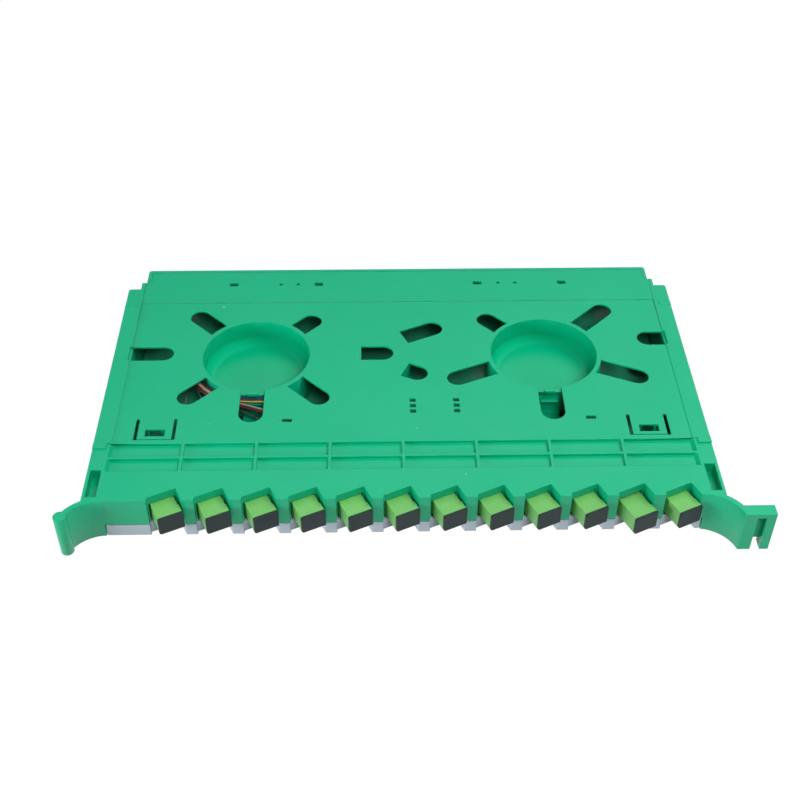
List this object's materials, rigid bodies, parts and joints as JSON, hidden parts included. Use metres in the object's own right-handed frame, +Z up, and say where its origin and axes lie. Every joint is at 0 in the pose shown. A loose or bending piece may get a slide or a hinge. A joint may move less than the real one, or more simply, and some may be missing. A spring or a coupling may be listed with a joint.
{
  "type": "fibre splice tray",
  "caption": "Flat moulded tray with two winding hubs, a saw-tooth front of tilted square fibre adapters with dust caps, side rails and pull ears; it holds and protects fibre splices.",
  "frame": {"origin": "middle of the part's box, on the surface that it lies on", "axes": "+X to the right along the row of adapters, +Y to the rear, +Z up out of the tray's underside"},
  "size_m": [0.3338, 0.1928, 0.0251],
  "materials": {
    "green_moulding": "satin moulded",
    "grey_moulding": "satin moulded",
    "lid_sheet": "translucent",
    "holder_plastic": "moulded",
    "sleeve_plastic": "shrunk",
    "boot_rubber": "soft",
    "ferrule_white": "polished",
    "lime_plastic": "moulded",
    "cap_plastic": "moulded",
    "connector_plastic": "moulded",
    "fibre_black": "extruded",
    "fibre_rose": "extruded",
    "fibre_aqua": "extruded",
    "fibre_violet": "extruded",
    "fibre_slate": "extruded",
    "fibre_green": "extruded",
    "fibre_brown": "extruded",
    "fibre_red": "extruded",
    "fibre_white": "extruded",
    "fibre_yellow": "extruded",
    "fibre_orange": "extruded",
    "fibre_blue": "extruded"
  },
  "bodies": {
    "tray": {"tray_base": "green_moulding", "splice_holder": "holder_plastic", "splice_sleeves": "sleeve_plastic", "boots": "boot_rubber", "ferrules": "ferrule_white", "alignment_sleeves": "ferrule_white", "adapter_01": "lime_plastic", "adapter_02": "lime_plastic", "adapter_03": "lime_plastic", "adapter_04": "lime_plastic", "adapter_05": "lime_plastic", "adapter_06": "lime_plastic", "adapter_07": "lime_plastic", "adapter_08": "lime_plastic", "adapter_09": "lime_plastic", "adapter_10": "lime_plastic", "adapter_11": "lime_plastic", "adapter_12": "lime_plastic", "connector_01": "connector_plastic", "connector_02": "connector_plastic", "connector_03": "connector_plastic", "connector_04": "connector_plastic", "connector_05": "connector_plastic", "connector_06": "connector_plastic", "connector_07": "connector_plastic", "connector_08": "connector_plastic", "connector_09": "connector_plastic", "connector_10": "connector_plastic", "connector_11": "connector_plastic", "connector_12": "connector_plastic", "pigtail_01": "fibre_black", "pigtail_02": "fibre_rose", "pigtail_03": "fibre_aqua", "pigtail_04": "fibre_violet", "pigtail_05": "fibre_slate", "pigtail_06": "fibre_green", "pigtail_07": "fibre_brown", "pigtail_08": "fibre_red", "pigtail_09": "fibre_white", "pigtail_10": "fibre_yellow", "pigtail_11": "fibre_orange", "pigtail_12": "fibre_blue"},
    "cover": {"front_cover": "grey_moulding"},
    "bay_lid": {"lid": "lid_sheet"},
    "cap_01": {"dust_cap_01": "cap_plastic"},
    "cap_02": {"dust_cap_02": "cap_plastic"},
    "cap_03": {"dust_cap_03": "cap_plastic"},
    "cap_04": {"dust_cap_04": "cap_plastic"},
    "cap_05": {"dust_cap_05": "cap_plastic"},
    "cap_06": {"dust_cap_06": "cap_plastic"},
    "cap_07": {"dust_cap_07": "cap_plastic"},
    "cap_08": {"dust_cap_08": "cap_plastic"},
    "cap_09": {"dust_cap_09": "cap_plastic"},
    "cap_10": {"dust_cap_10": "cap_plastic"},
    "cap_11": {"dust_cap_11": "cap_plastic"},
    "cap_12": {"dust_cap_12": "cap_plastic"}
  },
  "joints": [
    {"name": "cover_slide", "type": "slide", "parent": "tray", "child": "cover", "axis": [0, -1, 0], "range_m": [0, 0.045]},
    {"name": "lid_hinge", "type": "hinge", "parent": "tray", "child": "bay_lid", "pos_m": [0, 0.08907, 0.0036], "axis": [1, 0, 0], "range_deg": [0, 100]},
    {"name": "cap_01_pull", "type": "slide", "parent": "tray", "child": "cap_01", "axis": [0.4226, -0.9063, 0], "range_m": [0, 0.015]},
    {"name": "cap_02_pull", "type": "slide", "parent": "tray", "child": "cap_02", "axis": [0.4226, -0.9063, 0], "range_m": [0, 0.015]},
    {"name": "cap_03_pull", "type": "slide", "parent": "tray", "child": "cap_03", "axis": [0.4226, -0.9063, 0], "range_m": [0, 0.015]},
    {"name": "cap_04_pull", "type": "slide", "parent": "tray", "child": "cap_04", "axis": [0.4226, -0.9063, 0], "range_m": [0, 0.015]},
    {"name": "cap_05_pull", "type": "slide", "parent": "tray", "child": "cap_05", "axis": [0.4226, -0.9063, 0], "range_m": [0, 0.015]},
    {"name": "cap_06_pull", "type": "slide", "parent": "tray", "child": "cap_06", "axis": [0.4226, -0.9063, 0], "range_m": [0, 0.015]},
    {"name": "cap_07_pull", "type": "slide", "parent": "tray", "child": "cap_07", "axis": [0.4226, -0.9063, 0], "range_m": [0, 0.015]},
    {"name": "cap_08_pull", "type": "slide", "parent": "tray", "child": "cap_08", "axis": [0.4226, -0.9063, 0], "range_m": [0, 0.015]},
    {"name": "cap_09_pull", "type": "slide", "parent": "tray", "child": "cap_09", "axis": [0.4226, -0.9063, 0], "range_m": [0, 0.015]},
    {"name": "cap_10_pull", "type": "slide", "parent": "tray", "child": "cap_10", "axis": [0.4226, -0.9063, 0], "range_m": [0, 0.015]},
    {"name": "cap_11_pull", "type": "slide", "parent": "tray", "child": "cap_11", "axis": [0.4226, -0.9063, 0], "range_m": [0, 0.015]},
    {"name": "cap_12_pull", "type": "slide", "parent": "tray", "child": "cap_12", "axis": [0.4226, -0.9063, 0], "range_m": [0, 0.015]}
  ]
}
